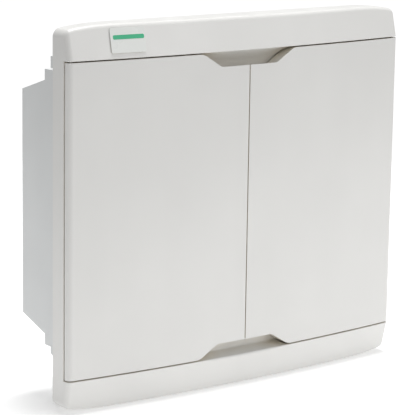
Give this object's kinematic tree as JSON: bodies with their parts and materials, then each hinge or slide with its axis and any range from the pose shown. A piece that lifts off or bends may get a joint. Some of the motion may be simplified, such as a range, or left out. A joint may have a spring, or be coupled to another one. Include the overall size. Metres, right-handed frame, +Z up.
{
  "type": "breaker panel box",
  "caption": "Flush-mounted breaker panel box: bowed surround and doors with finger pulls over a recessed box of switching devices on rails.",
  "frame": {"origin": "middle of the surround, on the wall surface that its rear rim rests on", "axes": "+Z up, +Y into the wall, +X to the right as seen from the front; the doors face -Y"},
  "size_m": [0.4, 0.105, 0.36],
  "materials": {
    "shell": "warm white moulded ABS, satin gloss",
    "shell_inner": "warm white moulded ABS, fine matt texture",
    "back_box": "light cool grey moulded polystyrene",
    "badge": "thin white badge plate with a plain green bar",
    "zinc_steel": "bright zinc plate",
    "screw_steel": "turned, zinc plated",
    "brass": "machined",
    "holder": "grey moulded nylon",
    "busbar": "bare copper",
    "label": "blank paper label behind clear film",
    "magnet_holder": "black nylon magnet holder",
    "device": "white moulded thermoset",
    "toggle_red": "red moulded toggle",
    "toggle_blue": "blue moulded toggle",
    "toggle_black": "black moulded toggle",
    "button_yellow": "yellow moulded button"
  },
  "bodies": {
    "enclosure": {"back_box": "back_box", "front_frame": "shell", "badge_plate": "badge", "dead_front": "shell_inner", "chassis_upright_left": "zinc_steel", "chassis_upright_right": "zinc_steel", "din_rail_upper": "zinc_steel", "din_rail_lower": "zinc_steel", "neutral_bar": "brass", "earth_bar": "brass", "neutral_bar_holder": "holder", "earth_bar_holder": "holder", "comb_busbar_upper": "busbar", "comb_busbar_lower": "busbar", "blanking_strip_upper": "shell_inner", "blanking_strip_lower": "shell_inner", "label_strip_upper": "label", "label_strip_lower": "label", "cover_screw_top_left": "screw_steel", "cover_screw_top_right": "screw_steel", "cover_screw_bottom_left": "screw_steel", "cover_screw_bottom_right": "screw_steel", "hinge_pin_left_bottom": "screw_steel", "hinge_pin_left_top": "screw_steel", "hinge_pin_right_bottom": "screw_steel", "hinge_pin_right_top": "screw_steel", "catch_magnet_left": "magnet_holder", "catch_magnet_right": "magnet_holder", "main_switch": "device", "rcd": "device", "mcb_1": "device", "mcb_2": "device", "mcb_3": "device", "mcb_4": "device", "mcb_5": "device", "mcb_6": "device", "mcb_7": "device", "mcb_8": "device", "mcb_9": "device", "mcb_10": "device", "mcb_11": "device"},
    "door_left": {"door_left": "shell", "catch_strike_left": "zinc_steel"},
    "door_right": {"door_right": "shell", "catch_strike_right": "zinc_steel"},
    "main_switch_toggle": {"main_switch_toggle": "toggle_red"},
    "rcd_toggle": {"rcd_toggle": "toggle_blue"},
    "rcd_test_button": {"rcd_test_button": "button_yellow"},
    "mcb_1_toggle": {"mcb_1_toggle": "toggle_black"},
    "mcb_2_toggle": {"mcb_2_toggle": "toggle_black"},
    "mcb_3_toggle": {"mcb_3_toggle": "toggle_black"},
    "mcb_4_toggle": {"mcb_4_toggle": "toggle_black"},
    "mcb_5_toggle": {"mcb_5_toggle": "toggle_black"},
    "mcb_6_toggle": {"mcb_6_toggle": "toggle_black"},
    "mcb_7_toggle": {"mcb_7_toggle": "toggle_black"},
    "mcb_8_toggle": {"mcb_8_toggle": "toggle_black"},
    "mcb_9_toggle": {"mcb_9_toggle": "toggle_black"},
    "mcb_10_toggle": {"mcb_10_toggle": "toggle_black"},
    "mcb_11_toggle": {"mcb_11_toggle": "toggle_black"}
  },
  "joints": [
    {"name": "door_left_hinge", "type": "hinge", "parent": "enclosure", "child": "door_left", "pos_m": [-0.195, -0.0215, 0], "axis": [0, 0, -1], "range_deg": [0, 105]},
    {"name": "door_right_hinge", "type": "hinge", "parent": "enclosure", "child": "door_right", "pos_m": [0.195, -0.0215, 0], "axis": [0, 0, 1], "range_deg": [0, 105]},
    {"name": "main_switch_toggle_pivot", "type": "hinge", "parent": "enclosure", "child": "main_switch_toggle", "pos_m": [-0.14, -0.0125, 0.068], "axis": [1, 0, 0], "range_deg": [0, 56]},
    {"name": "rcd_toggle_pivot", "type": "hinge", "parent": "enclosure", "child": "rcd_toggle", "pos_m": [-0.11, -0.0125, 0.068], "axis": [1, 0, 0], "range_deg": [0, 56]},
    {"name": "mcb_1_toggle_pivot", "type": "hinge", "parent": "enclosure", "child": "mcb_1_toggle", "pos_m": [-0.07875, -0.0125, 0.068], "axis": [1, 0, 0], "range_deg": [0, 56]},
    {"name": "mcb_2_toggle_pivot", "type": "hinge", "parent": "enclosure", "child": "mcb_2_toggle", "pos_m": [-0.06125, -0.0125, 0.068], "axis": [1, 0, 0], "range_deg": [0, 56]},
    {"name": "mcb_3_toggle_pivot", "type": "hinge", "parent": "enclosure", "child": "mcb_3_toggle", "pos_m": [-0.04375, -0.0125, 0.068], "axis": [1, 0, 0], "range_deg": [0, 56]},
    {"name": "mcb_4_toggle_pivot", "type": "hinge", "parent": "enclosure", "child": "mcb_4_toggle", "pos_m": [-0.02625, -0.0125, 0.068], "axis": [1, 0, 0], "range_deg": [0, 56]},
    {"name": "mcb_5_toggle_pivot", "type": "hinge", "parent": "enclosure", "child": "mcb_5_toggle", "pos_m": [-0.00875, -0.0125, 0.068], "axis": [1, 0, 0], "range_deg": [0, 56]},
    {"name": "mcb_6_toggle_pivot", "type": "hinge", "parent": "enclosure", "child": "mcb_6_toggle", "pos_m": [-0.14875, -0.0125, -0.057], "axis": [1, 0, 0], "range_deg": [0, 56]},
    {"name": "mcb_7_toggle_pivot", "type": "hinge", "parent": "enclosure", "child": "mcb_7_toggle", "pos_m": [-0.13125, -0.0125, -0.057], "axis": [1, 0, 0], "range_deg": [0, 56]},
    {"name": "mcb_8_toggle_pivot", "type": "hinge", "parent": "enclosure", "child": "mcb_8_toggle", "pos_m": [-0.11375, -0.0125, -0.057], "axis": [1, 0, 0], "range_deg": [0, 56]},
    {"name": "mcb_9_toggle_pivot", "type": "hinge", "parent": "enclosure", "child": "mcb_9_toggle", "pos_m": [-0.09625, -0.0125, -0.057], "axis": [1, 0, 0], "range_deg": [0, 56]},
    {"name": "mcb_10_toggle_pivot", "type": "hinge", "parent": "enclosure", "child": "mcb_10_toggle", "pos_m": [-0.07875, -0.0125, -0.057], "axis": [1, 0, 0], "range_deg": [0, 56]},
    {"name": "mcb_11_toggle_pivot", "type": "hinge", "parent": "enclosure", "child": "mcb_11_toggle", "pos_m": [-0.06125, -0.0125, -0.057], "axis": [1, 0, 0], "range_deg": [0, 56]},
    {"name": "rcd_test_button_slide", "type": "slide", "parent": "enclosure", "child": "rcd_test_button", "axis": [0, 1, 0], "range_m": [0, 0.0012], "stiffness_N_per_m": 400}
  ]
}
